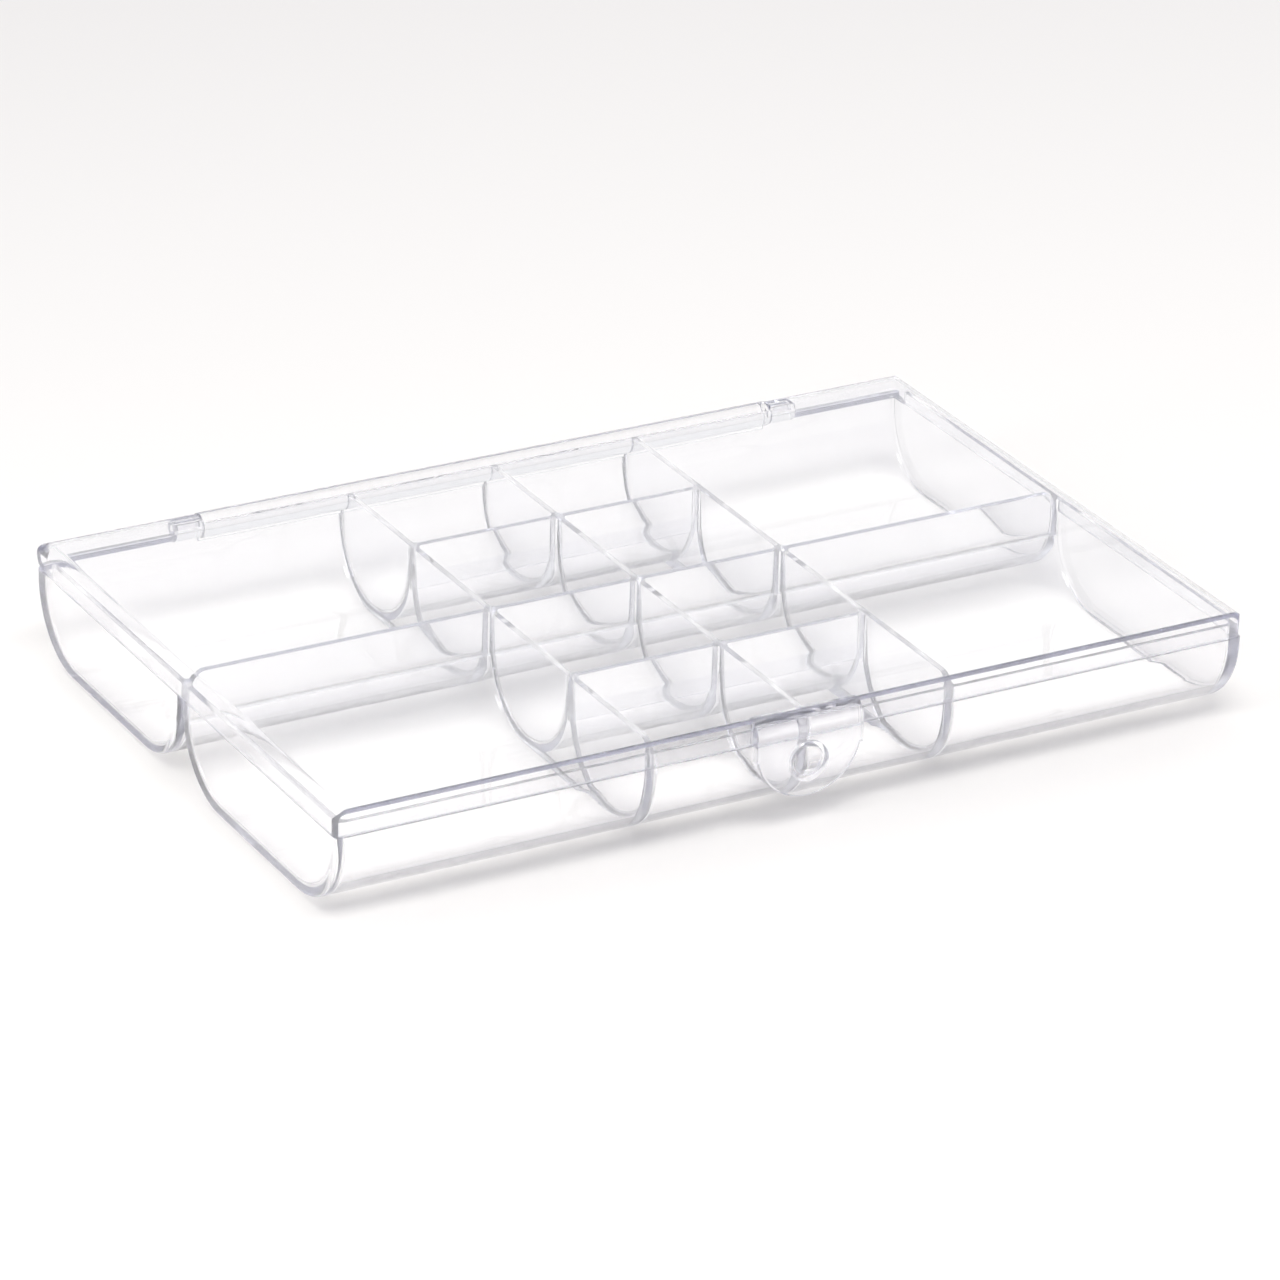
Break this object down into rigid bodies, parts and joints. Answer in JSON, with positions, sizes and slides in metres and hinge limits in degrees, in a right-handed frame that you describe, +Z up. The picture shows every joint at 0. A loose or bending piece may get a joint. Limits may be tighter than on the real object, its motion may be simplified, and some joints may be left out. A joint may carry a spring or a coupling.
{
  "type": "parts organizer",
  "caption": "flat clear plastic compartment box for small parts, with round-bottomed troughs, a hinged lid and a front latch tab that snaps over a stud",
  "frame": {"origin": "on the surface the tray stands on, under the middle of the tray", "axes": "+X along the latch edge to the right as seen from the latch, +Y from the latch to the hinge, +Z up"},
  "size_m": [0.21, 0.1409, 0.0252],
  "materials": {
    "tray_plastic": "clear injection-moulded polystyrene, polished",
    "lid_plastic": "clear injection-moulded polystyrene, polished"
  },
  "bodies": {
    "tray": {"end_wall_left": "tray_plastic", "end_wall_right": "tray_plastic", "trough_left_front": "tray_plastic", "trough_left_back": "tray_plastic", "trough_right_front": "tray_plastic", "trough_right_back": "tray_plastic", "cell_1_left": "tray_plastic", "cell_2_left": "tray_plastic", "cell_3_left": "tray_plastic", "cell_4_left": "tray_plastic", "cell_1_right": "tray_plastic", "cell_2_right": "tray_plastic", "cell_3_right": "tray_plastic", "cell_4_right": "tray_plastic", "cross_divider_left": "tray_plastic", "cross_divider_middle": "tray_plastic", "cross_divider_right": "tray_plastic", "centre_divider": "tray_plastic", "short_divider_front": "tray_plastic", "short_divider_back": "tray_plastic", "rim_lip_front": "tray_plastic", "rim_lip_left": "tray_plastic", "rim_lip_right": "tray_plastic", "latch_stud": "tray_plastic", "hinge_barrel": "tray_plastic", "hinge_pin_left": "tray_plastic", "hinge_pin_right": "tray_plastic"},
    "lid": {"lid_panel": "lid_plastic", "lid_skirt_front": "lid_plastic", "lid_skirt_left": "lid_plastic", "lid_skirt_right": "lid_plastic", "lid_back_left": "lid_plastic", "lid_back_right": "lid_plastic", "hinge_lug_left": "lid_plastic", "hinge_lug_right": "lid_plastic", "latch_root": "lid_plastic"},
    "latch": {"latch_tab": "lid_plastic"}
  },
  "joints": [
    {"name": "lid_hinge", "type": "hinge", "parent": "tray", "child": "lid", "pos_m": [0, 0.0663, 0.02205], "axis": [-1, 0, 0], "range_deg": [0, 180]},
    {"name": "latch_flex", "type": "hinge", "parent": "lid", "child": "latch", "pos_m": [0, -0.0715, 0.019], "axis": [-1, 0, 0], "range_deg": [0, 9], "stiffness_Nm_per_rad": 0.2}
  ]
}
